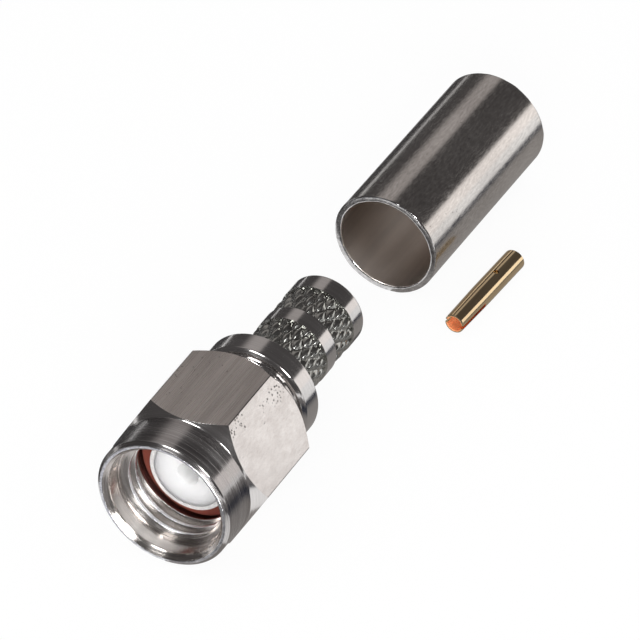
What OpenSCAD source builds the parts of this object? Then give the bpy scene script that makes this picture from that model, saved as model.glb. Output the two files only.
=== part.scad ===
// Crimp plug with a captive hexagon nut, for a thin coaxial cable, laid out before it is fitted:
// the plug lies on a flat of its nut, the crimp ferrule lies behind it, the contact beside that.
// All of it lies along Y. The origin is on the plug's axis, in the plane where the outer
// conductor meets the mating connector. The mouth faces -Y, the cable end faces +Y.

/* [Coupling nut] */
// Distance across the flats of the nut
nut_af = 8; // [7.8:0.05:8.5]
// Whole length of the nut
nut_length = 8.7; // [8:0.1:10]
// Outer diameter of the round sleeve in front of the hexagon
sleeve_d = 7.84; // [7.4:0.02:7.9]
// Length of that sleeve
sleeve_length = 2.4; // [1.5:0.1:3.5]
// Angle between the axis and the cone that turns the sleeve into the hexagon
front_bevel_angle = 45; // [35:1:60]
// Angle between the axis and the cone at the back of the hexagon
rear_bevel_angle = 40; // [35:1:60]
// Diameter of the flat face at the back of the nut
nut_back_d = 7.6; // [7.3:0.05:7.8]
// Bevel on the outside of the front rim
rim_bevel = 0.2; // [0.05:0.05:0.25]
// Distance from the front rim to the reference plane
nut_overhang = 2.86; // [2.3:0.02:3.4]
// Diameter of the smooth counterbore behind the front rim
counterbore_d = 6.58; // [6.4:0.02:6.8]
// Depth of that counterbore
counterbore_depth = 1.3; // [0.8:0.1:1.6]
// Bevel on the inside of the front rim
mouth_bevel = 0.3; // [0.1:0.05:0.35]
// Bore of the coupling thread, 1/4-36
thread_bore_d = 5.66; // [5.5:0.02:5.8]
// Length of the cone that leads into the thread
thread_lead = 0.15; // [0.05:0.05:0.4]
// Diameter of the relief behind the thread
relief_d = 6.44; // [6.36:0.02:6.6]
// Distance that the relief runs on behind the plug's flange
relief_overrun = 0.3; // [0.1:0.1:0.8]

/* [Plug body] */
// Outer diameter of the outer conductor
conductor_d = 4.59; // [4.5:0.01:4.7]
// Wall of the outer conductor around the insulator
conductor_wall = 0.235; // [0.2:0.005:0.3]
// Length of the outer conductor in front of the flange
conductor_length = 1.95; // [1.5:0.05:2.3]
// Diameter of the shaft that the nut turns on
shaft_d = 6.1; // [5.9:0.02:6.2]
// Radial clearance between the shaft and the nut
nut_clearance = 0.05; // [0.02:0.01:0.1]
// Bevel at the front end of the shaft
flange_bevel = 0.15; // [0.05:0.05:0.3]
// Gap between the back of the nut and the collar
collar_gap = 0.98; // [0.3:0.02:1.6]
// Diameter of the collar
collar_d = 6.74; // [6.4:0.02:7.2]
// Length of the collar with its bevel
collar_length = 1.5; // [1:0.1:2.5]
// Bevel at the front of the collar
collar_bevel = 0.2; // [0.05:0.05:0.25]

/* [Crimp spigot] */
// Outer diameter of the spigot that the cable's braid goes over
spigot_d = 4.44; // [4.2:0.02:4.8]
// Length of the spigot behind the collar
spigot_length = 7.5; // [6.5:0.1:9]
// Bore for the cable's dielectric
cable_bore_d = 3.1; // [2.6:0.05:3.3]
// Length of the plain land at the end of the spigot
end_land = 1.2; // [0.6:0.1:1.5]
// Length of the knurled band next to that land
rear_knurl_length = 2.05; // [1.5:0.05:2.5]
// Length of the plain land between the two knurled bands
middle_land = 1; // [0.6:0.1:1.4]
// Length of the plain land next to the collar
front_land = 0.4; // [0.2:0.1:0.8]
// Number of grooves around the knurl, in each direction
knurl_starts = 18; // [12:1:24]
// Angle between the grooves and the axis
knurl_angle = 30; // [20:1:40]
// Depth of the grooves
knurl_depth = 0.16; // [0.08:0.01:0.2]
// How far the diamonds stand below the plain lands
knurl_drop = 0.03; // [0.02:0.01:0.06]
// Share of the width of each diamond that stays flat at its top
knurl_crest = 0.3; // [0.15:0.05:0.5]
// Bevel on the end of the spigot
spigot_bevel = 0.1; // [0.05:0.05:0.2]

/* [Retaining ring] */
// Width of the ring along the axis
ring_width = 0.5; // [0.35:0.05:0.7]
// Inner diameter of the ring
ring_inner_d = 5.5; // [5.4:0.05:5.6]
// Outer diameter of the ring
ring_outer_d = 6.6; // [6.5:0.05:6.7]
// Opening of the ring
ring_opening_angle = 40; // [20:5:70]
// Distance from the back of the nut to the ring
ring_inset = 1.6; // [1.2:0.1:2.2]
// Free space on each side of the ring in its two grooves
ring_clearance = 0.06; // [0.02:0.01:0.15]
// Free space between the ring and the floor of each groove
ring_groove_clearance = 0.15; // [0.05:0.05:0.2]

/* [Gasket] */
// Outer diameter of the gasket
gasket_outer_d = 6.2; // [5.9:0.05:6.3]
// Thickness of the gasket, which lies against the plug's flange
gasket_thickness = 1.4; // [0.8:0.1:1.7]
// Radial clearance between the gasket and the outer conductor
gasket_clearance = 0.02; // [0.01:0.01:0.05]

/* [Insulator] */
// Length of the insulator
insulator_length = 5.9; // [5:0.1:6.2]
// Radial clearance between the insulator and its pocket
insulator_clearance = 0.01; // [0.005:0.005:0.03]
// Radial clearance between the insulator's bore and the contact
contact_clearance = 0.015; // [0.01:0.005:0.05]

/* [Contact] */
// Diameter of the contact
contact_d = 1.25; // [1.2:0.01:1.3]
// Length of the contact
contact_length = 6.7; // [6.4:0.1:8]
// Bore of the socket behind its pinched mouth
socket_d = 0.96; // [0.9:0.01:1]
// Depth of the socket
socket_depth = 3.1; // [2.9:0.1:3.3]
// Length of the tines that are pinched towards the axis
pinch_length = 2.9; // [2.5:0.1:3.1]
// How far each tine leans in at the mouth
pinch = 0.05; // [0.02:0.01:0.08]
// Width of the slot that parts the two tines
slot_width = 0.22; // [0.15:0.01:0.3]
// Length of the slot
slot_length = 2.4; // [1.8:0.1:2.8]
// Bore for the cable's inner wire
wire_bore_d = 0.98; // [0.85:0.01:1.02]
// Depth of that bore
wire_bore_depth = 2.6; // [2.2:0.1:2.8]
// Diameter of the inspection hole
sight_hole_d = 0.3; // [0.2:0.05:0.4]
// Distance from the wire end to the inspection hole
sight_hole_inset = 2.2; // [1.5:0.1:2.2]
// Angle of the drill points in the contact
drill_angle = 118; // [90:1:140]
// Bevel on the wire end of the contact
contact_bevel = 0.05; // [0.02:0.01:0.06]

/* [Crimp ferrule] */
// Outer diameter of the ferrule
ferrule_d = 6.26; // [6:0.02:6.6]
// Wall of the ferrule
ferrule_wall = 0.38; // [0.3:0.01:0.5]
// Length of the ferrule
ferrule_length = 12.95; // [11:0.05:14]
// Bevel on the edges of the ferrule
ferrule_bevel = 0.08; // [0.03:0.01:0.12]

/* [Layout] */
// Distance from the spigot to the ferrule
ferrule_gap = 7.45; // [4:0.05:12]
// Sideways shift of the ferrule's near end
ferrule_shift = -0.33; // [-1:0.01:1]
// Turn of the ferrule on the table
ferrule_turn = 1.0; // [-3:0.1:3]
// Distance from the spigot to the contact, along the axis
contact_gap = 5.8; // [3:0.1:12]
// Distance from the ferrule's side to the contact
contact_spacing = 1.33; // [1:0.01:4]
// Turn of the contact on the table
contact_turn = 3.2; // [-1:0.1:5]
// Roll of the contact about its own axis
contact_roll = -6; // [-90:1:90]

/* [Hidden] */
$fn = 96;
cut = 0.2; // how far a cutting tool runs past the face that it leaves

// places along the plug's axis
rim_y = -nut_overhang;
nut_back_y = rim_y + nut_length;
flange_y = conductor_length;
collar_y = nut_back_y + collar_gap;
collar_back_y = collar_y + collar_length;
spigot_end_y = collar_back_y + spigot_length;
ring_y = nut_back_y - ring_inset - ring_width;
rear_knurl_y = spigot_end_y - end_land - rear_knurl_length;
front_knurl_y = collar_back_y + front_land;
front_knurl_length = rear_knurl_y - middle_land - front_knurl_y;

// radii and heights that follow from the sizes above
table_z = -nut_af / 2;
nut_corner_r = nut_af / 2 / cos(30);
nut_bore_r = shaft_d / 2 + nut_clearance;
knurl_r = spigot_d / 2 - knurl_drop;
knurl_root_r = knurl_r - knurl_depth;
knurl_core_r = knurl_root_r - 0.1;
pocket_r = conductor_d / 2 - conductor_wall;
contact_r = contact_d / 2;
ferrule_bore_r = ferrule_d / 2 - ferrule_wall;
contact_x = ferrule_shift + ferrule_d / 2 + contact_spacing + contact_r;

// turns what is built along +Z so that it runs along +Y
module along_y() {
    rotate([-90, 0, 0]) children();
}

// a solid of revolution about Y, from [radius, place] points
module turned(outline) {
    along_y() rotate_extrude() polygon(outline);
}

// hexagon bar, turned down to the sleeve at the front and beveled at the back
module nut_blank() {
    sleeve_r = sleeve_d / 2;
    back_r = nut_back_d / 2;
    wide_r = nut_corner_r + cut;
    shoulder_y = rim_y + sleeve_length;
    intersection() {
        translate([0, rim_y - cut, 0]) along_y()
            cylinder(h = nut_length + 2 * cut, r = nut_corner_r, $fn = 6);
        turned([
            [0, rim_y],
            [sleeve_r - rim_bevel, rim_y],
            [sleeve_r, rim_y + rim_bevel],
            [sleeve_r, shoulder_y],
            [wide_r, shoulder_y + (wide_r - sleeve_r) / tan(front_bevel_angle)],
            [wide_r, nut_back_y - (wide_r - back_r) / tan(rear_bevel_angle)],
            [back_r, nut_back_y],
            [0, nut_back_y]
        ]);
    }
}

// the space inside the nut: mouth, counterbore, thread bore, relief and running bore
module nut_bore() {
    counterbore_r = counterbore_d / 2;
    thread_y = rim_y + counterbore_depth + thread_lead;
    relief_end_y = flange_y + relief_overrun;
    groove_r = ring_outer_d / 2 + ring_groove_clearance;
    turned([
        [0, rim_y - cut],
        [counterbore_r + mouth_bevel + cut, rim_y - cut],
        [counterbore_r, rim_y + mouth_bevel],
        [counterbore_r, rim_y + counterbore_depth],
        [thread_bore_d / 2, thread_y],
        [thread_bore_d / 2, 0],
        [relief_d / 2, 0],
        [relief_d / 2, relief_end_y],
        [nut_bore_r, relief_end_y],
        [nut_bore_r, ring_y - ring_clearance],
        [groove_r, ring_y - ring_clearance],
        [groove_r, ring_y + ring_width + ring_clearance],
        [nut_bore_r, ring_y + ring_width + ring_clearance],
        [nut_bore_r, nut_back_y + cut],
        [0, nut_back_y + cut]
    ]);
}

module coupling_nut() {
    color("#8d8984") difference() {
        nut_blank();
        nut_bore();
    }
}

// the spring ring that keeps the nut on the plug, open at the top
module retaining_ring() {
    color("#7d7a76") translate([0, ring_y, 0]) rotate([0, 270 - ring_opening_angle / 2, 0]) along_y()
        rotate_extrude(angle = 360 - ring_opening_angle)
            translate([ring_inner_d / 2, 0]) square([(ring_outer_d - ring_inner_d) / 2, ring_width]);
}

module gasket() {
    gasket_bore_r = conductor_d / 2 + gasket_clearance;
    color("#a8402c") translate([0, flange_y - gasket_thickness, 0]) along_y() difference() {
        cylinder(h = gasket_thickness, d = gasket_outer_d);
        translate([0, 0, -cut]) cylinder(h = gasket_thickness + 2 * cut, r = gasket_bore_r);
    }
}

// crossing right-hand and left-hand grooves: rings of points that lie by turns at the foot of
// two crossing grooves and at the peak between four of them, with each groove along a diagonal
module knurl_field(rows, row_length) {
    columns = 2 * knurl_starts;
    peak_r = knurl_root_r + knurl_depth / (1 - knurl_crest);
    function is_crossing(column, row) = (column + row) % 2 == 0;
    function point(column, row) = row * columns + column % columns;
    function facets(column, row) = let (
            near = point(column, row), near_next = point(column + 1, row),
            far = point(column, row + 1), far_next = point(column + 1, row + 1)
        )
        is_crossing(column, row)
            ? [[near, far, far_next], [near, far_next, near_next]]
            : [[near, far, near_next], [far, far_next, near_next]];
    polyhedron(
        points = [
            for (row = [0 : rows], column = [0 : columns - 1])
                let (radius = is_crossing(column, row) ? knurl_root_r : peak_r, angle = column * 360 / columns)
                [radius * cos(angle), radius * sin(angle), row * row_length]
        ],
        faces = [
            [for (column = [0 : columns - 1]) point(column, 0)],
            [for (column = [columns - 1 : -1 : 0]) point(column, rows)],
            for (row = [0 : rows - 1], column = [0 : columns - 1]) each facets(column, row)
        ]
    );
}

// the two bands of flat-topped diamonds, cut from one run of the knurl
module knurl() {
    row_length = PI * knurl_r / knurl_starts / tan(knurl_angle);
    run = rear_knurl_y + rear_knurl_length - front_knurl_y;
    intersection() {
        translate([0, front_knurl_y - row_length / 2, 0]) along_y()
            knurl_field(ceil((run + row_length) / row_length), row_length);
        union() {
            translate([0, front_knurl_y, 0]) along_y() cylinder(h = front_knurl_length, r = knurl_r);
            translate([0, rear_knurl_y, 0]) along_y() cylinder(h = rear_knurl_length, r = knurl_r);
        }
    }
}

// everything that is turned on the plug body, without its bore and knurl
module body_blank() {
    groove_r = ring_inner_d / 2 - ring_groove_clearance;
    groove_start_y = ring_y - ring_clearance;
    groove_end_y = ring_y + ring_width + ring_clearance;
    shaft_r = shaft_d / 2;
    collar_r = collar_d / 2;
    spigot_r = spigot_d / 2;
    turned([
        [0, 0],
        [conductor_d / 2, 0],
        [conductor_d / 2, flange_y],
        [shaft_r - flange_bevel, flange_y],
        [shaft_r, flange_y + flange_bevel],
        [shaft_r, groove_start_y],
        [groove_r, groove_start_y],
        [groove_r, groove_end_y],
        [shaft_r, groove_end_y],
        [shaft_r, collar_y],
        [collar_r - collar_bevel, collar_y],
        [collar_r, collar_y + collar_bevel],
        [collar_r, collar_back_y],
        [spigot_r, collar_back_y],
        [spigot_r, front_knurl_y],
        [knurl_core_r, front_knurl_y],
        [knurl_core_r, front_knurl_y + front_knurl_length],
        [spigot_r, front_knurl_y + front_knurl_length],
        [spigot_r, rear_knurl_y],
        [knurl_core_r, rear_knurl_y],
        [knurl_core_r, rear_knurl_y + rear_knurl_length],
        [spigot_r, rear_knurl_y + rear_knurl_length],
        [spigot_r, spigot_end_y - spigot_bevel],
        [spigot_r - spigot_bevel, spigot_end_y],
        [0, spigot_end_y]
    ]);
}

module plug_body() {
    color("#827f7a") difference() {
        union() {
            body_blank();
            knurl();
        }
        turned([
            [0, -cut],
            [pocket_r, -cut],
            [pocket_r, insulator_length],
            [cable_bore_d / 2, insulator_length],
            [cable_bore_d / 2, spigot_end_y + cut],
            [0, spigot_end_y + cut]
        ]);
    }
}

module insulator() {
    color("white") along_y() difference() {
        cylinder(h = insulator_length, r = pocket_r - insulator_clearance);
        translate([0, 0, -cut])
            cylinder(h = insulator_length + 2 * cut, r = contact_r + contact_clearance);
    }
}

// the contact along +Y from its mouth, with the slot lying in the XY plane
module contact_shape() {
    socket_r = socket_d / 2;
    wire_r = wire_bore_d / 2;
    point_run = 1 / tan(drill_angle / 2);
    wire_y = contact_length - wire_bore_depth;
    difference() {
        turned([
            [0, 0],
            [contact_r - pinch, 0],
            [contact_r, pinch_length],
            [contact_r, contact_length - contact_bevel],
            [contact_r - contact_bevel, contact_length],
            [0, contact_length]
        ]);
        turned([
            [0, -cut],
            [socket_r - pinch, -cut],
            [socket_r - pinch, 0],
            [socket_r, pinch_length],
            [socket_r, socket_depth],
            [0, socket_depth + socket_r * point_run]
        ]);
        translate([-contact_d, -cut, -slot_width / 2])
            cube([2 * contact_d, slot_length + cut, slot_width]);
        turned([
            [0, wire_y - wire_r * point_run],
            [wire_r, wire_y],
            [wire_r, contact_length + cut],
            [0, contact_length + cut]
        ]);
        translate([0, contact_length - sight_hole_inset, 0])
            cylinder(h = contact_d, d = sight_hole_d);
    }
}

module center_contact() {
    color("#b08d3c")
        translate([contact_x, spigot_end_y + contact_gap, table_z + contact_r])
            rotate([0, 0, -contact_turn]) rotate([0, -contact_roll, 0]) contact_shape();
}

module crimp_ferrule() {
    ferrule_r = ferrule_d / 2;
    color("#8a8781")
        translate([ferrule_shift, spigot_end_y + ferrule_gap, table_z + ferrule_r])
            rotate([0, 0, -ferrule_turn]) turned([
                [ferrule_bore_r, ferrule_bevel],
                [ferrule_bore_r + ferrule_bevel, 0],
                [ferrule_r - ferrule_bevel, 0],
                [ferrule_r, ferrule_bevel],
                [ferrule_r, ferrule_length - ferrule_bevel],
                [ferrule_r - ferrule_bevel, ferrule_length],
                [ferrule_bore_r + ferrule_bevel, ferrule_length],
                [ferrule_bore_r, ferrule_length - ferrule_bevel]
            ]);
}

coupling_nut();
retaining_ring();
gasket();
plug_body();
insulator();
center_contact();
crimp_ferrule();
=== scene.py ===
from math import atan2, ceil, cos, hypot, pi, radians, sin, tan

import bpy
from mathutils import Matrix, Vector


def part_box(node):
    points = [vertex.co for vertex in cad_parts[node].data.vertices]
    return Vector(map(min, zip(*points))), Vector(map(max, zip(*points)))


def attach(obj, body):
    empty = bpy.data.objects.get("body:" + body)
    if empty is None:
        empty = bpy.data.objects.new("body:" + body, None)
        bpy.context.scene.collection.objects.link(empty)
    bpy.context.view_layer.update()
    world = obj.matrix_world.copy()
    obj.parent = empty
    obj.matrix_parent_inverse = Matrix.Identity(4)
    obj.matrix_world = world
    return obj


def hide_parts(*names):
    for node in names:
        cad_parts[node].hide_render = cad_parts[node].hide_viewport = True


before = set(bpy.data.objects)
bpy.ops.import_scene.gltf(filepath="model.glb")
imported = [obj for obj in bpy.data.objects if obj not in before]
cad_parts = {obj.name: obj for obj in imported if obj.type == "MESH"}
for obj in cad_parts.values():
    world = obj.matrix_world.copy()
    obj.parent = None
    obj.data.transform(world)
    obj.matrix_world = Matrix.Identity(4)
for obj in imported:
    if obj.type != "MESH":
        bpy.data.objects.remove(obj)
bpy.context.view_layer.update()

# crimp plug with its loose ferrule and contact
# pieces are shaped in millimetres and scaled to metres last
mm = 0.001
finish = {
    "smoothAngle": radians(32), "normalWeight": 100, "mergeDistance": 0.0001, "arcReach": 0.45,
}
print("frame loaded with", len(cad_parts), "nodes")


def boxMm(node):
    low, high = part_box(node)
    return low / mm, high / mm


nutLow, nutHigh = boxMm("coupling_nut")
bodyLow, bodyHigh = boxMm("plug_body")
ringLow, ringHigh = boxMm("retaining_ring")
gasketLow, gasketHigh = boxMm("gasket")
insulatorLow, insulatorHigh = boxMm("insulator")
tableZ = nutLow.z


def deselectAll():
    if bpy.context.object and bpy.context.object.mode != "OBJECT":
        bpy.ops.object.mode_set(mode="OBJECT")
    bpy.ops.object.select_all(action="DESELECT")


def makeActive(piece):
    deselectAll()
    piece.select_set(True)
    bpy.context.view_layer.objects.active = piece


def editAll(piece):
    makeActive(piece)
    bpy.ops.object.mode_set(mode="EDIT")
    bpy.ops.mesh.select_all(action="SELECT")


# leaves edit mode with just the edges that the test picks, in edge mode
def pickEdges(piece, test):
    editAll(piece)
    bpy.ops.mesh.select_mode(type="EDGE")
    bpy.ops.mesh.select_all(action="DESELECT")
    bpy.ops.object.mode_set(mode="OBJECT")
    for edge in piece.data.edges:
        edge.select = test(edge)
    bpy.ops.object.mode_set(mode="EDIT")


def leaveEdges():
    bpy.ops.mesh.select_mode(type="VERT")
    bpy.ops.object.mode_set(mode="OBJECT")


def applyModifiers(piece):
    makeActive(piece)
    for modifier in list(piece.modifiers):
        bpy.ops.object.modifier_apply(modifier=modifier.name)


# corners are (radius, place, rounding); each one is swapped for a short arc
def roundedOutline(corners, steps=3, closed=True):
    outline = []
    count = len(corners)
    for i, (radius, place, rounding) in enumerate(corners):
        here = Vector((radius, place))
        atEnd = not closed and i in (0, count - 1)
        if rounding == 0 or atEnd:
            outline.append((radius, place))
            continue
        before = Vector(corners[i - 1][:2]) - here
        after = Vector(corners[(i + 1) % count][:2]) - here
        reach = min(rounding, before.length * finish["arcReach"], after.length * finish["arcReach"])
        start = here + before.normalized() * reach
        end = here + after.normalized() * reach
        for k in range(steps + 1):
            t = k / steps
            point = start * (1 - t) ** 2 + here * 2 * t * (1 - t) + end * t ** 2
            outline.append((point.x, point.y))
    return outline


# a ring of vertices is laid on the outline and spun about the plug's axis; an outline that starts
# and ends on the axis is left open there
def turnPiece(name, outline, steps, closed=True):
    deselectAll()
    bpy.ops.mesh.primitive_circle_add(vertices=len(outline), radius=1)
    piece = bpy.context.object
    piece.name = piece.data.name = name
    for vertex, (radius, place) in zip(piece.data.vertices, outline):
        vertex.co = (radius, place, 0)
    if not closed:
        last = {0, len(outline) - 1}
        pickEdges(piece, lambda edge: set(edge.vertices) == last)
        bpy.ops.mesh.delete(type="EDGE")
        leaveEdges()
    editAll(piece)
    bpy.ops.mesh.spin(steps=steps, angle=2 * pi, center=(0, 0, 0), axis=(0, 1, 0))
    bpy.ops.mesh.select_all(action="SELECT")
    bpy.ops.mesh.remove_doubles(threshold=finish["mergeDistance"])
    bpy.ops.mesh.delete_loose()
    bpy.ops.mesh.select_all(action="SELECT")
    bpy.ops.mesh.normals_make_consistent(inside=False)
    bpy.ops.object.mode_set(mode="OBJECT")
    return piece


def combine(piece, tool, operation):
    modifier = piece.modifiers.new(operation.title(), "BOOLEAN")
    modifier.operation = operation
    modifier.solver = "EXACT"
    modifier.object = tool
    applyModifiers(piece)
    bpy.data.objects.remove(tool)


# every face gets the one of the materials that choose picks for it
def paint(piece, materials, choose):
    piece.data.materials.clear()
    for material in materials:
        piece.data.materials.append(material)
    for face in piece.data.polygons:
        face.material_index = materials.index(choose(face))


# smooth shading with crisp edges, millimetres to metres, then the frame's bookkeeping
def finishPiece(piece, body, nodes):
    makeActive(piece)
    bpy.ops.object.shade_smooth_by_angle(angle=finish["smoothAngle"])
    modifier = piece.modifiers.new("Weighted", "WEIGHTED_NORMAL")
    modifier.weight = finish["normalWeight"]
    modifier.keep_sharp = True
    applyModifiers(piece)
    bpy.ops.transform.resize(value=(mm, mm, mm), center_override=(0, 0, 0))
    bpy.ops.object.transform_apply(location=True, rotation=True, scale=True)
    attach(piece, body)
    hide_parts(*nodes)
    print("made", piece.name, "with", len(piece.data.polygons), "faces")


def newMaterial(name):
    material = bpy.data.materials.new(name)
    material.use_nodes = True
    nodes, links = material.node_tree.nodes, material.node_tree.links
    return material, nodes, links, nodes["Principled BSDF"]


# a value given to a socket may be a number, a colour or another node's output
def feed(links, node, socket, value):
    if isinstance(value, bpy.types.NodeSocket):
        links.new(value, node.inputs[socket])
    else:
        node.inputs[socket].default_value = value


def objectPlace(nodes, links):
    coordinates = nodes.new("ShaderNodeTexCoord")
    parts = nodes.new("ShaderNodeSeparateXYZ")
    links.new(coordinates.outputs["Object"], parts.inputs[0])
    return parts.outputs


def addNoise(nodes, links, scale, detail=3, roughness=0.5, center=(0, 0, 0)):
    coordinates = nodes.new("ShaderNodeTexCoord")
    mapping = nodes.new("ShaderNodeMapping")
    mapping.inputs["Location"].default_value = center
    mapping.inputs["Scale"].default_value = scale
    noise = nodes.new("ShaderNodeTexNoise")
    noise.inputs["Scale"].default_value = 1
    noise.inputs["Detail"].default_value = detail
    noise.inputs["Roughness"].default_value = roughness
    links.new(coordinates.outputs["Object"], mapping.inputs["Vector"])
    links.new(mapping.outputs["Vector"], noise.inputs["Vector"])
    return noise.outputs["Fac"]


def mapRange(nodes, links, value, fromLow, fromHigh, toLow, toHigh, smooth=False):
    node = nodes.new("ShaderNodeMapRange")
    if smooth:
        node.interpolation_type = "SMOOTHSTEP"
    ends = {"From Min": fromLow, "From Max": fromHigh, "To Min": toLow, "To Max": toHigh}
    for name, number in ends.items():
        node.inputs[name].default_value = number
    links.new(value, node.inputs["Value"])
    return node.outputs["Result"]


# the mix node keeps its colour sockets at 6 and 7, and its colour output at 2
def mixColors(nodes, links, fac, first, second):
    node = nodes.new("ShaderNodeMix")
    node.data_type = "RGBA"
    for socket, value in ((0, fac), (6, first), (7, second)):
        feed(links, node, socket, value)
    return node.outputs[2]


def calculate(nodes, links, operation, first, second=0.0):
    node = nodes.new("ShaderNodeMath")
    node.operation = operation
    feed(links, node, 0, first)
    feed(links, node, 1, second)
    return node.outputs[0]


def addBump(nodes, links, shader, height, distance):
    bump = nodes.new("ShaderNodeBump")
    bump.inputs["Strength"].default_value = 1
    bump.inputs["Distance"].default_value = distance
    links.new(height, bump.inputs["Height"])
    links.new(bump.outputs["Normal"], shader.inputs["Normal"])


plating = {
    "lineDetail": 4, "lineRoughness": 0.6, "grainDetail": 2,
    "lineShare": 0.6, "broadShare": 0.4, "toneRange": (0.35, 0.65), "roughRange": (0.3, 0.7),
    "pitColor": (0.12, 0.11, 0.10, 1), "pitPatches": (0.44, 0.62), "patchCenter": (3, 7, 1),
    "pitSlope": 0.5, "awayFromEdge": 0.3,
}


# dark pits in patches: how deep each point lies in a pit, from 0 to 1
def addPits(nodes, links, pits):
    coordinates = nodes.new("ShaderNodeTexCoord")
    cells = nodes.new("ShaderNodeTexVoronoi")
    cells.inputs["Scale"].default_value = pits["scale"]
    cells.inputs["Randomness"].default_value = 1
    links.new(coordinates.outputs["Object"], cells.inputs["Vector"])
    where = addNoise(nodes, links, (pits["patches"],) * 3, detail=1, center=plating["patchCenter"])
    size = mapRange(nodes, links, where, *plating["pitPatches"], 0, pits["size"])
    if "edge" in pits:  # most of them lie along the upper corner
        nearEdge = mapRange(
            nodes, links, objectPlace(nodes, links)["Z"], *pits["edge"], plating["awayFromEdge"], 1)
        size = calculate(nodes, links, "MULTIPLY", size, nearEdge)
    inside = calculate(nodes, links, "SUBTRACT", size, cells.outputs["Distance"])
    return mapRange(nodes, links, inside, 0, pits["size"] * plating["pitSlope"], 0, 1)


# plated metal with fine tool lines; lineScale gives how dense they are along x, y and z
def platedMetal(name, values):
    material, nodes, links, shader = newMaterial(name)
    lines = addNoise(
        nodes, links, values["lineScale"], plating["lineDetail"], plating["lineRoughness"])
    broad = addNoise(nodes, links, values["broadScale"], plating["grainDetail"])
    grain = addNoise(nodes, links, (values["grainScale"],) * 3, plating["grainDetail"])
    dark = (*values["dark"], 1)
    light = (*values["light"], 1)
    lineTone = calculate(nodes, links, "MULTIPLY", lines, plating["lineShare"])
    broadTone = calculate(nodes, links, "MULTIPLY", broad, plating["broadShare"])
    tone = calculate(nodes, links, "ADD", lineTone, broadTone)
    color = mixColors(
        nodes, links, mapRange(nodes, links, tone, *plating["toneRange"], 0, 1), dark, light)
    rough = mapRange(nodes, links, lines, *plating["roughRange"], *values["roughness"])
    lineHeight = calculate(nodes, links, "MULTIPLY", lines, values["lineDepth"])
    grainHeight = calculate(nodes, links, "MULTIPLY", grain, values["grainDepth"])
    height = calculate(nodes, links, "ADD", lineHeight, grainHeight)
    if "pits" in values:
        pit = addPits(nodes, links, values["pits"])
        color = mixColors(nodes, links, pit, color, plating["pitColor"])
        pitHeight = calculate(nodes, links, "MULTIPLY", pit, values["pits"]["depth"])
        height = calculate(nodes, links, "SUBTRACT", height, pitHeight)
    addBump(nodes, links, shader, height, 1)
    links.new(color, shader.inputs["Base Color"])
    links.new(rough, shader.inputs["Roughness"])
    shader.inputs["Metallic"].default_value = values.get("metallic", 1)
    if "stretch" in values:  # tool lines spread a highlight across themselves
        tangent = nodes.new("ShaderNodeTangent")
        tangent.direction_type = "RADIAL"
        tangent.axis = "Y"
        links.new(tangent.outputs["Tangent"], shader.inputs["Tangent"])
        shader.inputs["Anisotropic"].default_value = values["stretch"]
        shader.inputs["Anisotropic Rotation"].default_value = values["stretchTurn"]
    return material


turnedNickel = platedMetal("turnedNickel", {
    "dark": (0.60, 0.58, 0.57), "light": (0.74, 0.72, 0.71), "roughness": (0.11, 0.20),
    "lineScale": (200, 15000, 200), "broadScale": (260, 260, 260), "grainScale": 12000,
    "lineDepth": 0.0000007, "grainDepth": 0.0000004, "stretch": 0.5, "stretchTurn": 0.25})
sleeveNickel = platedMetal("sleeveNickel", {
    "dark": (0.36, 0.34, 0.34), "light": (0.62, 0.60, 0.59), "roughness": (0.11, 0.30),
    "lineScale": (170, 14000, 170), "broadScale": (300, 900, 300), "grainScale": 12000,
    "lineDepth": 0.0000030, "grainDepth": 0.0000004, "stretch": 0.7, "stretchTurn": 0.25})
drawnNickel = platedMetal("drawnNickel", {
    "dark": (0.42, 0.39, 0.37), "light": (0.72, 0.67, 0.64), "roughness": (0.22, 0.36),
    "lineScale": (9000, 110, 9000), "broadScale": (900, 120, 900), "grainScale": 12000,
    "lineDepth": 0.0000026, "grainDepth": 0.0000012, "stretch": 0.4, "stretchTurn": 0.0,
    "pits": {"scale": 3000, "patches": 300, "size": 0.14, "depth": 0.000003}})
# the four slanted hex flats: real pits, most along the upper corner, on a lighter copy of the
# flats' nickel, a painted highlight
pittedNickelPaintedHighlight = platedMetal("pittedNickelPaintedHighlight", {
    "dark": (0.66, 0.62, 0.60), "light": (0.88, 0.85, 0.83), "roughness": (0.17, 0.27),
    "lineScale": (7500, 2800, 7500), "broadScale": (1700, 1100, 1700), "grainScale": 9000,
    "lineDepth": 0.0000014, "grainDepth": 0.0000020,
    "pits": {"scale": 5500, "patches": 900, "size": 0.42, "depth": 0.000004,
             "edge": (0.0021, 0.0032)}})
threadNickel = platedMetal("threadNickel", {
    "dark": (0.42, 0.39, 0.37), "light": (0.78, 0.74, 0.71), "roughness": (0.14, 0.28),
    "lineScale": (300, 9000, 300), "broadScale": (600, 600, 600), "grainScale": 9000,
    "lineDepth": 0.0000090, "grainDepth": 0.0000010, "stretch": 0.80, "stretchTurn": 0.25})
# rim and thread crests: a near white, slightly blue copy of the nickel, a painted highlight, with a
# strong bump for the beaded glints
paintedHighlightEdge = platedMetal("paintedHighlightEdge", {
    "dark": (0.50, 0.50, 0.52), "light": (0.94, 0.94, 0.97), "roughness": (0.08, 0.20),
    "lineScale": (8000, 8000, 8000), "broadScale": (3000, 3000, 3000), "grainScale": 14000,
    "lineDepth": 0.000024, "grainDepth": 0.000005})
sawnEdge = platedMetal("sawnEdge", {
    "dark": (0.40, 0.39, 0.39), "light": (0.80, 0.79, 0.79), "roughness": (0.10, 0.24),
    "lineScale": (5000, 5000, 5000), "broadScale": (1500, 1500, 1500), "grainScale": 14000,
    "lineDepth": 0.000008, "grainDepth": 0.000002})
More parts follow.
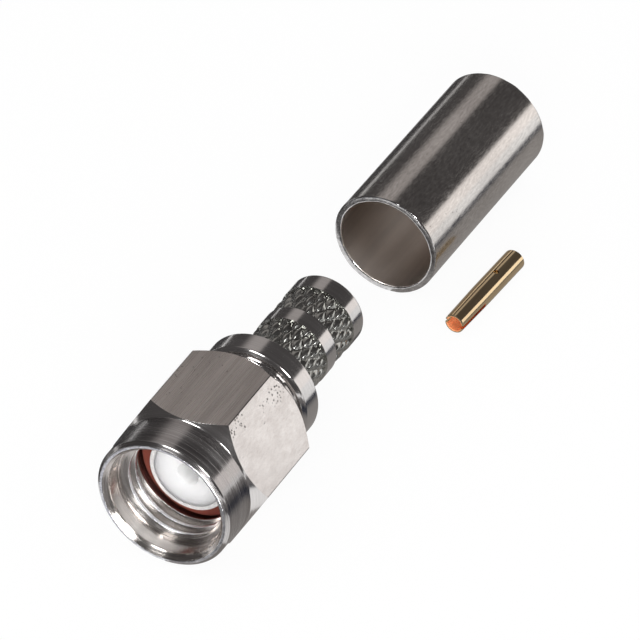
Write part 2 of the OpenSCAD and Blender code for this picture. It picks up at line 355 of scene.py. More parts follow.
# front face of the outer conductor: near white and only partly metal, a painted highlight for its
# bright glinting ring
faceNickelPaintedHighlight = platedMetal("faceNickelPaintedHighlight", {
    "dark": (0.80, 0.79, 0.78), "light": (0.96, 0.95, 0.94), "roughness": (0.30, 0.50),
    "lineScale": (6000, 6000, 6000), "broadScale": (3000, 3000, 3000), "grainScale": 14000,
    "lineDepth": 0.000040, "grainDepth": 0.000012, "metallic": 0.4})
ferruleNickel = platedMetal("ferruleNickel", {
    "dark": (0.54, 0.51, 0.49), "light": (0.80, 0.77, 0.74), "roughness": (0.13, 0.24),
    "lineScale": (9000, 2600, 9000), "broadScale": (300, 160, 300), "grainScale": 11000,
    "lineDepth": 0.0000003, "grainDepth": 0.0000009,
    "pits": {"scale": 3200, "patches": 260, "size": 0.12, "depth": 0.000003}})
ferruleInside = platedMetal("ferruleInside", {
    "dark": (0.50, 0.465, 0.445), "light": (0.78, 0.71, 0.655), "roughness": (0.32, 0.42),
    "lineScale": (700, 14, 700), "broadScale": (420, 12, 420), "grainScale": 7000,
    "lineDepth": 0.0000003, "grainDepth": 0.0000006})
knurlNickel = platedMetal("knurlNickel", {
    "dark": (0.36, 0.36, 0.34), "light": (0.58, 0.58, 0.55), "roughness": (0.13, 0.24),
    "lineScale": (3000, 2500, 3000), "broadScale": (500, 500, 500), "grainScale": 9000,
    "lineDepth": 0.0000020, "grainDepth": 0.0000014})
contactGold = platedMetal("contactGold", {
    "dark": (0.78, 0.60, 0.37), "light": (0.95, 0.75, 0.47), "roughness": (0.07, 0.14),
    "lineScale": (5000, 160, 5000), "broadScale": (900, 300, 900), "grainScale": 14000,
    "lineDepth": 0.0000005, "grainDepth": 0.0000003})
# inside the socket: a saturated orange copy of the gold, only partly metal, a painted glow for
# light bouncing round inside the gold bore
socketGoldPaintedGlow = platedMetal("socketGoldPaintedGlow", {
    "dark": (0.85, 0.30, 0.12), "light": (1.0, 0.42, 0.19), "roughness": (0.30, 0.45),
    "lineScale": (2000, 9000, 2000), "broadScale": (900, 900, 900), "grainScale": 14000,
    "lineDepth": 0.0000010, "grainDepth": 0.0000005, "metallic": 0.3})
springSteel = platedMetal("springSteel", {
    "dark": (0.38, 0.37, 0.35), "light": (0.55, 0.54, 0.52), "roughness": (0.22, 0.34),
    "lineScale": (900, 9000, 900), "broadScale": (500, 500, 500), "grainScale": 9000,
    "lineDepth": 0.0000010, "grainDepth": 0.0000006})


plastic = {
    "dark": (0.94, 0.94, 0.93, 1), "light": (0.98, 0.98, 0.97, 1), "cloudScale": 900,
    "cloudRange": (0.3, 0.7), "roughness": (0.34, 0.5), "ringDensity": 42000,
    "ringDepth": 0.0000012, "scatterRadius": (1, 1, 0.97), "scatterScale": 0.0025,
}


# turned white plastic: faint rings from the tool, a little light inside
def turnedPtfe():
    material, nodes, links, shader = newMaterial("turnedPtfe")
    place = objectPlace(nodes, links)
    squares = [calculate(nodes, links, "MULTIPLY", place[axis], place[axis]) for axis in ("X", "Z")]
    across = calculate(nodes, links, "SQRT", calculate(nodes, links, "ADD", *squares))
    rings = calculate(nodes, links, "SINE", calculate(
        nodes, links, "MULTIPLY", across, plastic["ringDensity"]))
    cloud = addNoise(nodes, links, (plastic["cloudScale"],) * 3, detail=3)
    color = mixColors(nodes, links, cloud, plastic["dark"], plastic["light"])
    rough = mapRange(nodes, links, cloud, *plastic["cloudRange"], *plastic["roughness"])
    links.new(color, shader.inputs["Base Color"])
    links.new(rough, shader.inputs["Roughness"])
    addBump(nodes, links, shader, rings, plastic["ringDepth"])
    shader.inputs["Subsurface Weight"].default_value = 1
    shader.inputs["Subsurface Radius"].default_value = plastic["scatterRadius"]
    shader.inputs["Subsurface Scale"].default_value = plastic["scatterScale"]
    return material


rubber = {
    "dark": (0.17, 0.040, 0.028, 1), "light": (0.28, 0.066, 0.044, 1), "cloudScale": 1600,
    "dustScale": 14000, "dustRange": (0.3, 0.7), "roughness": (0.42, 0.62), "dustDepth": 0.000004,
}


def redSilicone():
    material, nodes, links, shader = newMaterial("redSilicone")
    cloud = addNoise(nodes, links, (rubber["cloudScale"],) * 3, detail=4)
    dust = addNoise(nodes, links, (rubber["dustScale"],) * 3, detail=2)
    color = mixColors(nodes, links, cloud, rubber["dark"], rubber["light"])
    rough = mapRange(nodes, links, dust, *rubber["dustRange"], *rubber["roughness"])
    links.new(color, shader.inputs["Base Color"])
    links.new(rough, shader.inputs["Roughness"])
    addBump(nodes, links, shader, dust, rubber["dustDepth"])
    return material


ptfe = turnedPtfe()
silicone = redSilicone()
print("materials ready")


nut = {
    "sleeveRadius": 3.92, "sleeveLength": 2.4, "rimBevel": 0.2, "mouthBevel": 0.3,
    "frontSlope": tan(radians(45)), "rearSlope": tan(radians(40)), "backRadius": 3.8,
    "counterboreRadius": 3.29, "counterboreDepth": 1.3, "threadLead": 0.15, "threadRadius": 2.83,
    "reliefRadius": 3.22, "reliefEnd": 2.25, "runningRadius": 3.1,
    "grooveRadius": 3.45, "grooveClearance": 0.06, "cornerBevel": 0.045, "runOutBevel": 0.03,
    "steps": 256,
    "pitch": 0.70556, "rootRadius": 3.19, "rootFlat": 0.1, "crestRounding": 0.05,
    "flankTangent": tan(radians(30)), "threadSteps": 128, "startTurn": 0.5,
    "coneReach": 0.3, "toolReach": 0.06, "flatTolerance": 0.01, "flatMargin": 0.1,
    "coneSlopes": (0.4, 0.9), "levelNormal": 0.9, "barMargin": 1, "sectionLift": 0.001,
    "lipFlat": 0.01, "rimBand": 0.02, "crestBand": 0.03, "crestEnd": 0.1,
}


# the curved edges where the flats run out into the two cones are broken a little
def softenHexagon(piece):
    faces = {}
    for face in piece.data.polygons:
        for key in face.edge_keys:
            faces.setdefault(key, []).append(face)

    def isRunOut(edge):
        pair = faces.get(tuple(sorted(edge.vertices)), [])
        nearest = nut["backRadius"] - nut["flatMargin"]
        if len(pair) != 2 or min(hypot(face.center.x, face.center.z) for face in pair) < nearest:
            return False
        flat, cone = sorted(abs(face.normal.y) for face in pair)
        return flat < nut["flatTolerance"] and nut["coneSlopes"][0] < cone < nut["coneSlopes"][1]

    pickEdges(piece, isRunOut)
    bpy.ops.mesh.bevel(offset=nut["runOutBevel"], segments=2, affect="EDGES", clamp_overlap=True)
    leaveEdges()


# the outside and the bores, turned as one ring
def turnNut(cornerRadius, threadFloor):
    rim, back = nutLow.y, nutHigh.y
    shoulder = rim + nut["sleeveLength"]
    wide = cornerRadius + nut["coneReach"]
    mouth = nut["counterboreRadius"]
    grooveStart = ringLow.y - nut["grooveClearance"]
    grooveEnd = ringHigh.y + nut["grooveClearance"]
    corners = [
        (mouth + nut["mouthBevel"], rim, 0.03),
        (nut["sleeveRadius"] - nut["rimBevel"], rim, 0.03),
        (nut["sleeveRadius"], rim + nut["rimBevel"], 0.06),
        (nut["sleeveRadius"], shoulder, 0.05),
        (wide, shoulder + (wide - nut["sleeveRadius"]) / nut["frontSlope"], 0),
        (wide, back - (wide - nut["backRadius"]) / nut["rearSlope"], 0),
        (nut["backRadius"], back, 0.05),
        (nut["runningRadius"], back, 0.06),
        (nut["runningRadius"], grooveEnd, 0),
        (nut["grooveRadius"], grooveEnd, 0),
        (nut["grooveRadius"], grooveStart, 0),
        (nut["runningRadius"], grooveStart, 0),
        (nut["runningRadius"], nut["reliefEnd"], 0),
        (nut["reliefRadius"], nut["reliefEnd"], 0),
        (nut["reliefRadius"], 0, 0),
        (nut["threadRadius"], 0, 0.03),
        (nut["threadRadius"], threadFloor + nut["threadLead"], 0.04),
        (nut["threadRadius"] + nut["threadLead"], threadFloor, 0.03),
        (mouth, threadFloor, 0.05),
        (mouth, rim + nut["mouthBevel"], 0.10),
    ]
    return turnPiece("couplingNut", roundedOutline(corners), nut["steps"])


# a hexagon bar with broken corners leaves the flats
def cutHexagon(piece, cornerRadius):
    rim, back = nutLow.y, nutHigh.y
    bpy.ops.mesh.primitive_cylinder_add(
        vertices=6, radius=cornerRadius, depth=back - rim + nut["barMargin"],
        location=(0, (back + rim) / 2, 0), rotation=(pi / 2, radians(30), 0))
    bar = bpy.context.object
    bpy.ops.object.transform_apply(location=True, rotation=True, scale=True)
    places = [vertex.co.y for vertex in bar.data.vertices]
    pickEdges(bar, lambda edge: abs(places[edge.vertices[0]] - places[edge.vertices[1]]) > 1)
    bpy.ops.mesh.bevel(offset=nut["cornerBevel"], segments=3, affect="EDGES")
    leaveEdges()
    combine(piece, bar, "INTERSECT")
    softenHexagon(piece)


# helical groove of the coupling thread, swept from its section
def cutThread(piece, threadFloor):
    crest, root, half = nut["threadRadius"], nut["rootRadius"], nut["rootFlat"] / 2
    spread = half + (root - crest) * nut["flankTangent"]
    lip = spread + nut["crestRounding"] + nut["lipFlat"]
    surface = crest - nut["sectionLift"]
    side = roundedOutline([
        (root, half, 0), (surface, spread, nut["crestRounding"]),
        (surface, lip, 0), (crest - nut["toolReach"], lip, 0)], closed=False)
    section = [(radius, -place) for radius, place in reversed(side)] + side
    deselectAll()
    bpy.ops.mesh.primitive_circle_add(vertices=len(section), radius=1)
    groove = bpy.context.object
    start = threadFloor - nut["startTurn"] * nut["pitch"]
    for vertex, (radius, place) in zip(groove.data.vertices, section):
        vertex.co = (radius, place + start, 0)
    screw = groove.modifiers.new("Screw", "SCREW")
    screw.axis = "Y"
    screw.screw_offset = nut["pitch"]
    screw.iterations = ceil((0 - start) / nut["pitch"])
    screw.steps = screw.render_steps = nut["threadSteps"]
    screw.use_merge_vertices = False
    applyModifiers(groove)
    editAll(groove)
    bpy.ops.mesh.fill_holes(sides=len(section))
    bpy.ops.mesh.select_all(action="SELECT")
    bpy.ops.mesh.normals_make_consistent(inside=False)
    bpy.ops.object.mode_set(mode="OBJECT")
    combine(piece, groove, "DIFFERENCE")


def nutLook(face):
    rim = nutLow.y
    shoulder = rim + nut["sleeveLength"]
    mouth = nut["counterboreRadius"] + nut["mouthBevel"] - nut["rimBand"]
    across = hypot(face.center.x, face.center.z)
    place = face.center.y
    inside = across < mouth
    onRim = place < rim + nut["rimBand"] and not inside
    onCrest = abs(across - nut["threadRadius"]) < nut["crestBand"] and place < nut["crestEnd"]
    upright = abs(face.normal.y) < nut["flatTolerance"]
    # the rim and the thread crests get the near white edge nickel, a painted highlight
    if onRim or onCrest:
        return paintedHighlightEdge
    if inside:
        return threadNickel
    # the top and bottom flats get the drawn nickel; the four slanted flats get the lighter pitted
    # copy, with its painted highlight
    if place > shoulder and upright and across > nut["backRadius"]:
        return drawnNickel if abs(face.normal.z) > nut["levelNormal"] else pittedNickelPaintedHighlight
    return sleeveNickel if place < shoulder else turnedNickel


def makeNut():
    cornerRadius = nutHigh.z / cos(radians(30))
    threadFloor = nutLow.y + nut["counterboreDepth"]
    piece = turnNut(cornerRadius, threadFloor)
    cutHexagon(piece, cornerRadius)
    cutThread(piece, threadFloor)
    materials = (turnedNickel, drawnNickel, pittedNickelPaintedHighlight, threadNickel, paintedHighlightEdge, sleeveNickel)
    paint(piece, materials, nutLook)
    finishPiece(piece, "nut", ["coupling_nut"])


makeNut()


body = {
    "pocketRadius": 2.06, "pocketDepth": 5.9, "conductorRadius": 2.295,
    "flange": 1.95, "flangeBevel": 0.15, "shaftRadius": 3.05,
    "grooveRadius": 2.6, "grooveClearance": 0.06,
    "collarStart": 6.82, "collarRadius": 3.37, "collarBevel": 0.2, "collarEnd": 8.32,
    "spigotRadius": 2.22, "spigotBevel": 0.1, "boreRadius": 1.55,
    "bands": ((8.72, 2.85), (12.57, 2.05)), "knurlRadius": 2.19, "knurlDepth": 0.16,
    "knurlStarts": 18, "knurlAngle": 30, "diamondPower": 2.2, "ringGap": 0.05, "bandInset": 0.03,
    "knurlTolerance": 0.005, "wallMargin": 0.2, "faceBand": 0.04, "steps": 360,
}


# rounded diamonds between two sets of crossed grooves
def knurlRadiusAt(angle, place):
    rowLength = pi * body["knurlRadius"] / body["knurlStarts"] / tan(radians(body["knurlAngle"]))
    column = angle / (pi / body["knurlStarts"])
    row = (place - body["bands"][0][0]) / rowLength + 0.5
    first = abs((column + row) % 2 - 1)
    second = abs((column - row) % 2 - 1)
    level = (1 - first ** body["diamondPower"]) * (1 - second ** body["diamondPower"])
    return body["knurlRadius"] - body["knurlDepth"] * (1 - level)


def bodyLook(face):
    place = face.center.y
    inBand = any(start < place < start + length for start, length in body["bands"])
    wall = body["boreRadius"] + body["wallMargin"]
    if inBand and hypot(face.center.x, face.center.z) > wall:
        return knurlNickel
    # the thin front face band gets the near white face nickel, a painted highlight
    return faceNickelPaintedHighlight if place < bodyLow.y + body["faceBand"] else turnedNickel


def makeBody():
    b = body
    end = bodyHigh.y
    grooveStart = ringLow.y - b["grooveClearance"]
    grooveEnd = ringHigh.y + b["grooveClearance"]
    front = roundedOutline([
        (b["pocketRadius"], bodyLow.y, 0.02),
        (b["conductorRadius"], bodyLow.y, 0.05),
        (b["conductorRadius"], b["flange"], 0),
        (b["shaftRadius"] - b["flangeBevel"], b["flange"], 0.03),
        (b["shaftRadius"], b["flange"] + b["flangeBevel"], 0.03),
        (b["shaftRadius"], grooveStart, 0.03),
        (b["grooveRadius"], grooveStart, 0),
        (b["grooveRadius"], grooveEnd, 0),
        (b["shaftRadius"], grooveEnd, 0.03),
        (b["shaftRadius"], b["collarStart"], 0.04),
        (b["collarRadius"] - b["collarBevel"], b["collarStart"], 0.05),
        (b["collarRadius"], b["collarStart"] + b["collarBevel"], 0.07),
        (b["collarRadius"], b["collarEnd"], 0.07),
        (b["spigotRadius"], b["collarEnd"], 0.04),
        (b["spigotRadius"], b["bands"][0][0], 0.0)], closed=False)
    bandPoints = []
    for start, length in b["bands"]:
        count = round(length / b["ringGap"])
        inner = length - 2 * b["bandInset"]
        rings = [start + b["bandInset"] + inner * k / count for k in range(count + 1)]
        bandPoints.append((b["spigotRadius"], start))
        bandPoints += [(b["knurlRadius"], place) for place in rings]
        bandPoints.append((b["spigotRadius"], start + length))
    rear = roundedOutline([
        (b["spigotRadius"], b["bands"][1][0] + b["bands"][1][1], 0),
        (b["spigotRadius"], end - b["spigotBevel"], 0.06),
        (b["spigotRadius"] - b["spigotBevel"], end, 0.05),
        (b["boreRadius"], end, 0.05),
        (b["boreRadius"], b["pocketDepth"], 0),
        (b["pocketRadius"], b["pocketDepth"], 0),
        (b["pocketRadius"], bodyLow.y + 0.02, 0)], closed=False)
    piece = turnPiece("plugBody", front[:-1] + bandPoints + rear[1:-1], b["steps"])
    for vertex in piece.data.vertices:
        x, y, z = vertex.co
        across = hypot(x, z)
        if abs(across - b["knurlRadius"]) < b["knurlTolerance"]:
            radius = knurlRadiusAt(atan2(-z, x), y)
            vertex.co.x, vertex.co.z = x * radius / across, z * radius / across
    paint(piece, (turnedNickel, knurlNickel, faceNickelPaintedHighlight), bodyLook)
    finishPiece(piece, "plug", ["plug_body"])


makeBody()


insulator = {"boreRadius": 0.64, "edge": 0.05, "frontEdge": 0.03, "steps": 160}
gasket = {"boreRadius": 2.315, "innerEdge": 0.12, "outerEdge": 0.22, "arcSteps": 5, "steps": 160}


def makeInsulator():
    outer, low, high = insulatorHigh.x, insulatorLow.y, insulatorHigh.y
    piece = turnPiece("insulator", roundedOutline([
        (insulator["boreRadius"], low, insulator["edge"]), (outer, low, insulator["frontEdge"]),
        (outer, high, insulator["edge"]), (insulator["boreRadius"], high, insulator["edge"]),
    ]), insulator["steps"])
    piece.data.materials.append(ptfe)
    finishPiece(piece, "plug", ["insulator"])


def makeGasket():
    outer, low, high = gasketHigh.x, gasketLow.y, gasketHigh.y
    piece = turnPiece("gasket", roundedOutline([
        (gasket["boreRadius"], low, gasket["innerEdge"]), (outer, low, gasket["outerEdge"]),
        (outer, high, gasket["outerEdge"]), (gasket["boreRadius"], high, gasket["innerEdge"]),
    ], steps=gasket["arcSteps"]), gasket["steps"])
    piece.data.materials.append(silicone)
    finishPiece(piece, "plug", ["gasket"])


makeInsulator()
makeGasket()
# the spring ring is hidden, so the solid's own one stays and only gets its metal
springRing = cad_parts["retaining_ring"]
springRing.data.materials.clear()
springRing.data.materials.append(springSteel)


ferrule = {
    "radius": 3.13, "boreRadius": 2.75, "length": 12.95, "edge": 0.1, "turn": 1.0,
    "center": (-0.33, -0.87), "near": 23.27, "rings": 26, "rimReach": 0.5, "steps": 240,
    "wallMargin": 0.02, "boreMargin": 0.03, "rimBand": 0.06,
    "wobble": 0.012, "waves": ((1, 5, 1), (0.6, 11, 2), (0.35, 23, 0)),
}


# the saw left both rims slightly uneven; each wave is (height, count round the rim, start)
def unevenRims(piece):
    f = ferrule
    for vertex in piece.data.vertices:
        angle = atan2(vertex.co.z, vertex.co.x)
        nearRim = max(0, 1 - min(vertex.co.y, f["length"] - vertex.co.y) / f["rimReach"])
        across = hypot(vertex.co.x, vertex.co.z)
        if across < f["radius"] - f["wallMargin"]:
            uneven = sum(height * sin(angle * count + start) for height, count, start in f["waves"])
            scale = 1 + f["wobble"] * nearRim * uneven / across
            vertex.co.x *= scale
            vertex.co.z *= scale


def ferruleLook(face):
    place = face.center.y
    if hypot(face.center.x, face.center.z) < ferrule["boreRadius"] + ferrule["boreMargin"]:
        return ferruleInside
    onRim = min(place, ferrule["length"] - place) < ferrule["rimBand"]
    return sawnEdge if onRim else ferruleNickel


def makeFerrule():
    f = ferrule
    far = f["length"]
    innerEdge = f["edge"] * 1.3
    outer = [(f["radius"], far * k / f["rings"], 0) for k in range(1, f["rings"])]
    corners = [(f["boreRadius"], 0, innerEdge), (f["radius"], 0, f["edge"])] + outer + [
        (f["radius"], far, f["edge"]), (f["boreRadius"], far, innerEdge),
        (f["boreRadius"], far - f["rimReach"], 0), (f["boreRadius"], f["rimReach"], 0)]
    piece = turnPiece("crimpFerrule", roundedOutline(corners, steps=4), f["steps"])
    unevenRims(piece)
    paint(piece, (ferruleNickel, ferruleInside, sawnEdge), ferruleLook)
    makeActive(piece)
    piece.rotation_euler = (0, 0, -radians(f["turn"]))
    piece.location = (f["center"][0], f["near"], f["center"][1])
    bpy.ops.object.transform_apply(location=True, rotation=True, scale=True)
    finishPiece(piece, "plug", ["crimp_ferrule"])


makeFerrule()


contact = {
    "radius": 0.625, "length": 6.7, "pinch": 0.05, "pinchLength": 2.9, "socketRadius": 0.48,
    "socketDepth": 3.1, "slotWidth": 0.22, "slotLength": 2.4, "wireRadius": 0.49, "wireDepth": 2.6,
    "sightRadius": 0.15, "sightInset": 2.2, "point": 1 / tan(radians(59)), "edge": 0.05,
    "tipEdge": 0.06, "waist": 0.1, "mouth": (4.755, 21.62, -3.375), "turn": 3.2, "roll": -6,
    "steps": 96, "sightSteps": 32, "socketMargin": (0.5, 0.01),
}


# faces inside the socket get the orange copy of the gold, with its painted inner glow
def contactLook(face):
    alongMargin, acrossMargin = contact["socketMargin"]
    along = contact["socketDepth"] + alongMargin
    across = contact["socketRadius"] + acrossMargin
    inSocket = face.center.y < along and hypot(face.center.x, face.center.z) < across
    return socketGoldPaintedGlow if inSocket else contactGold


def makeContact():
    c = contact
    wireStart = c["length"] - c["wireDepth"]
    corners = [
        (0, c["socketDepth"] + c["socketRadius"] * c["point"], 0),
        (c["socketRadius"], c["socketDepth"], 0),
        (c["socketRadius"], c["pinchLength"], 0),
        (c["socketRadius"] - c["pinch"], 0, c["tipEdge"]),
        (c["radius"] - c["pinch"], 0, c["tipEdge"]),
        (c["radius"], c["pinchLength"], c["waist"]),
        (c["radius"], c["length"], c["edge"]),
        (c["wireRadius"], c["length"], c["edge"]),
        (c["wireRadius"], wireStart, 0),
        (0, wireStart - c["wireRadius"] * c["point"], 0),
    ]
    outline = roundedOutline(corners, closed=False)
    piece = turnPiece("centerContact", outline, c["steps"], closed=False)
    # the slot's cutter starts a millimetre before the mouth and is wider than the contact
    bpy.ops.mesh.primitive_cube_add(size=1, location=(0, c["slotLength"] / 2 - 0.5, 0))
    slot = bpy.context.object
    slot.scale = (3, c["slotLength"] + 1, c["slotWidth"])
    bpy.ops.object.transform_apply(location=True, rotation=True, scale=True)
    combine(piece, slot, "DIFFERENCE")
    deselectAll()
    bpy.ops.mesh.primitive_cylinder_add(
        vertices=c["sightSteps"], radius=c["sightRadius"], depth=1,
        location=(0, c["length"] - c["sightInset"], 0.5))
    combine(piece, bpy.context.object, "DIFFERENCE")
    paint(piece, (contactGold, socketGoldPaintedGlow), contactLook)
    makeActive(piece)
    turn = Matrix.Rotation(-radians(c["turn"]), 4, "Z")
    roll = Matrix.Rotation(-radians(c["roll"]), 4, "Y")
    piece.matrix_world = Matrix.Translation(c["mouth"]) @ (turn @ roll)
    bpy.ops.object.transform_apply(location=True, rotation=True, scale=True)
    finishPiece(piece, "plug", ["center_contact"])


makeContact()


studio = {
    "floorSize": 6, "floorColor": (0.95, 0.95, 0.95, 1), "floorRoughness": 0.9,
    "floorGlow": 0.93, "world": 0.75,
    "roomRadius": 0.9, "roomColor": (0.073, 0.069, 0.069, 1),
    "panelColor": (1.12, 1.07, 1.04, 1), "panelTop": radians(22.5), "panelFront": 0.60,
    "panelFade": (0.03, 0.01, 0.02),
    "bandColor": (0.40, 0.375, 0.365, 1), "bandAngles": (101, 107, 127, 146),
    "bandAhead": (0.1, 0.4), "cardLift": 0.00002, "highCardLift": 0.00004,
}

# corners and fade are in millimetres; a card goes from near to far along x
cards = {
    # a painted shadow: the pieces' shade on the floor to their right, grey near them and dark blue
    # at its far edge, seen only in the metal
    "paintedShadowCard": {
        "corners": ((0, -4), (4.8, -4), (4.8, -1.6), (13.5, -0.6), (13.5, 60), (0, 60)),
        "fade": (7, 11.5), "near": (0.30, 0.285, 0.275, 1), "far": (0.030, 0.034, 0.050, 1)},
    "sideCard": {
        "corners": ((13.5, -60), (45, -60), (45, 44), (13.5, 14.5)),
        "fade": (14, 20), "near": (0.05, 0.052, 0.062, 1), "far": (0.19, 0.18, 0.18, 1)},
    "leftCard": {
        "corners": ((-70, -3), (-8, -3), (-8, 110), (-70, 110)),
        "fade": (-40, -30), "near": (0.085, 0.08, 0.08, 1), "far": (0.06, 0.058, 0.06, 1)},
    "frontCard": {
        "corners": ((-70, -60), (13.5, -60), (13.5, -8.4), (6.5, -4.8), (4.8, -4.2), (-70, -4.2)),
        "fade": (-12, -8), "near": (0.12, 0.115, 0.115, 1), "far": (0.24, 0.235, 0.235, 1)},
    "rimCard": {
        "corners": ((-8, -13.5), (-1.5, -13.5), (-1.5, -4.2), (-8, -4.2)),
        "lift": studio["highCardLift"],
        "fade": (-2.5, -1.5), "near": (0.70, 0.70, 0.73, 1), "far": (0.24, 0.235, 0.235, 1)},
    "middleCard": {
        "corners": ((-8, 16), (2.5, 16), (2.5, 20.3), (-8, 20.3)),
        "lift": studio["highCardLift"],
        "fade": (-8, 4), "near": (0.10, 0.095, 0.095, 1), "far": (0.10, 0.095, 0.095, 1)},
}

# size is the lamp's width round the plug's axis and its length along it
lamps = {
    "topLamp": {
        "direction": (-0.18, -0.34, 0.92), "distance": 0.55, "size": (0.20, 0.20), "radiance": 15.0,
        "aim": (0, 0.008, 0), "glossy": True, "diffuse": False},
    "edgeLamp": {
        "direction": (0.70, -0.16, 0.68), "distance": 0.5, "size": (0.14, 0.16), "radiance": 22.0,
        "aim": (0, 0.008, 0), "glossy": True, "diffuse": False},
    "frontLamp": {
        "direction": (0.40, -0.80, 0.40), "distance": 0.5, "size": (0.28, 0.28), "radiance": 8.0,
        "aim": (0, 0.008, 0), "glossy": False, "diffuse": True},
    "mouthLamp": {
        "direction": (0.62, -0.69, 0.36), "distance": 0.012, "size": (0.006, 0.006),
        "radiance": 12.0, "aim": (-0.0024, -0.0027, -0.0024), "glossy": True, "diffuse": False},
}


# 1 for what is seen straight or in a reflection, 0 for the light that falls on the object
def seenRays(nodes, links):
    rays = nodes.new("ShaderNodeLightPath").outputs
    mirrored = calculate(
        nodes, links, "MAXIMUM", rays["Is Glossy Ray"], rays["Is Transmission Ray"])
    return calculate(nodes, links, "MAXIMUM", rays["Is Camera Ray"], mirrored)


def makeFloor():
    deselectAll()
    bpy.ops.mesh.primitive_plane_add(size=studio["floorSize"], location=(0, 0, tableZ * mm))
    plane = bpy.context.object
    plane.name = "studioFloor"
    material, nodes, links, shader = newMaterial("paleFloor")
    shader.inputs["Base Color"].default_value = studio["floorColor"]
    shader.inputs["Roughness"].default_value = studio["floorRoughness"]
    shader.inputs["Specular IOR Level"].default_value = 0
    glow = nodes.new("ShaderNodeEmission")
    mixed = nodes.new("ShaderNodeMixShader")
    share = calculate(nodes, links, "MULTIPLY", seenRays(nodes, links), studio["floorGlow"])
    links.new(share, mixed.inputs[0])
    links.new(shader.outputs[0], mixed.inputs[1])
    links.new(glow.outputs[0], mixed.inputs[2])
    links.new(mixed.outputs[0], nodes["Material Output"].inputs["Surface"])
    plane.data.materials.append(material)


def glowingMaterial(name):
    material, nodes, links, shader = newMaterial(name)
    nodes.remove(shader)
    glow = nodes.new("ShaderNodeEmission")
    links.new(glow.outputs[0], nodes["Material Output"].inputs["Surface"])
    return material, nodes, links, glow


def hideFromAllButGloss(thing):
    thing.visible_camera = thing.visible_diffuse = False
    thing.visible_shadow = thing.visible_transmission = False


# seen only as a reflection in the metal: the dark room above, with a bright panel low on the right
# and one pale band on the left
def makeRoom():
    deselectAll()
    bpy.ops.mesh.primitive_uv_sphere_add(segments=48, ring_count=24, radius=studio["roomRadius"])
    room = bpy.context.object
    room.name = "studioRoom"
    material, nodes, links, glow = glowingMaterial("darkRoom")
    place = objectPlace(nodes, links)
    turn = calculate(nodes, links, "ARCTAN2", place["Z"], place["X"])
    low, full, fall, gone = (radians(angle) for angle in studio["bandAngles"])
    rising = mapRange(nodes, links, turn, low, full, 0, 1, smooth=True)
    falling = mapRange(nodes, links, turn, fall, gone, 1, 0, smooth=True)
    ahead = mapRange(nodes, links, place["Y"], *studio["bandAhead"], 0, 1, smooth=True)
    around = calculate(nodes, links, "MULTIPLY", rising, falling)
    band = calculate(nodes, links, "MULTIPLY", around, ahead)
    fadeUp, fadeAcross, fadeAlong = studio["panelFade"]
    front = studio["panelFront"] * studio["roomRadius"]
    below = mapRange(nodes, links, turn, studio["panelTop"], studio["panelTop"] + fadeUp, 1, 0)
    right = mapRange(nodes, links, place["X"], -fadeAcross, fadeAcross, 0, 1)
    behind = mapRange(nodes, links, place["Y"], front - fadeAlong, front, 0, 1)
    lowRight = calculate(nodes, links, "MULTIPLY", below, right)
    panel = calculate(nodes, links, "MULTIPLY", lowRight, behind)
    walls = mixColors(nodes, links, band, studio["roomColor"], studio["bandColor"])
    links.new(mixColors(nodes, links, panel, walls, studio["panelColor"]), glow.inputs["Color"])
    room.data.materials.append(material)
    hideFromAllButGloss(room)


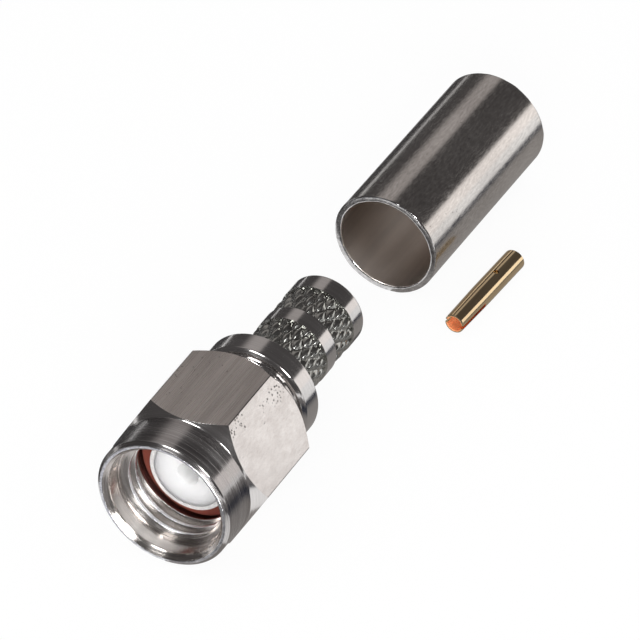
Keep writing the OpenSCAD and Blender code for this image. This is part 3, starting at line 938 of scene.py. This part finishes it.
# cards on the table round the pieces, seen only in the metal as well; the one on the right is a
# painted shadow of the pieces on the floor
def makeCard(name, values):
    deselectAll()
    bpy.ops.mesh.primitive_circle_add(vertices=len(values["corners"]), radius=1, fill_type="NGON")
    card = bpy.context.object
    card.name = name
    height = tableZ * mm + values.get("lift", studio["cardLift"])
    for vertex, (x, y) in zip(card.data.vertices, values["corners"]):
        vertex.co = (x * mm, y * mm, height)
    material, nodes, links, glow = glowingMaterial(name)
    start, end = (place * mm for place in values["fade"])
    outward = mapRange(nodes, links, objectPlace(nodes, links)["X"], start, end, 0, 1, smooth=True)
    links.new(mixColors(nodes, links, outward, values["near"], values["far"]), glow.inputs["Color"])
    card.data.materials.append(material)
    hideFromAllButGloss(card)


def addLamp(name, values):
    width, length = values["size"]
    light = bpy.data.lights.new(name, "AREA")
    light.shape = "RECTANGLE"
    light.size, light.size_y = width, length
    light.energy = values["radiance"] * pi * width * length
    lamp = bpy.data.objects.new(name, light)
    bpy.context.scene.collection.objects.link(lamp)
    away = Vector(values["direction"]).normalized()
    lamp.location = Vector(values["aim"]) + away * values["distance"]
    across = Vector((0, 1, 0)).cross(away).normalized()
    lamp.rotation_euler = Matrix((across, away.cross(across), away)).transposed().to_euler()
    lamp.visible_camera = False
    lamp.visible_glossy = values["glossy"]
    lamp.visible_diffuse = values["diffuse"]


def makeWorld():
    world = bpy.data.worlds.new("studioWorld")
    bpy.context.scene.world = world
    world.use_nodes = True
    nodes, links = world.node_tree.nodes, world.node_tree.links
    strength = mapRange(nodes, links, seenRays(nodes, links), 0, 1, studio["world"], 1)
    nodes["Background"].inputs["Color"].default_value = (1, 1, 1, 1)
    links.new(strength, nodes["Background"].inputs["Strength"])


makeFloor()
makeRoom()
for cardName, cardValues in cards.items():
    makeCard(cardName, cardValues)
for lampName, lampValues in lamps.items():
    addLamp(lampName, lampValues)
makeWorld()

camera = {
    "place": (0.14080, -0.25540, 0.24021), "forward": (-0.3627, 0.6964, -0.6192), "roll": 0.02,
    "lens": 406.0, "sensor": 36, "clip": (0.01, 20),
}
cameraData = bpy.data.cameras.new("camera")
cameraData.sensor_width = camera["sensor"]
cameraData.lens = camera["lens"]
cameraData.clip_start, cameraData.clip_end = camera["clip"]
cameraObject = bpy.data.objects.new("camera", cameraData)
bpy.context.scene.collection.objects.link(cameraObject)
cameraObject.location = camera["place"]
cameraObject.rotation_euler = Vector(camera["forward"]).to_track_quat("-Z", "Y").to_euler()
cameraObject.rotation_euler.rotate_axis("Z", radians(camera["roll"]))
bpy.context.scene.camera = cameraObject
bpy.context.scene.view_settings.view_transform = "Standard"
print("studio ready")
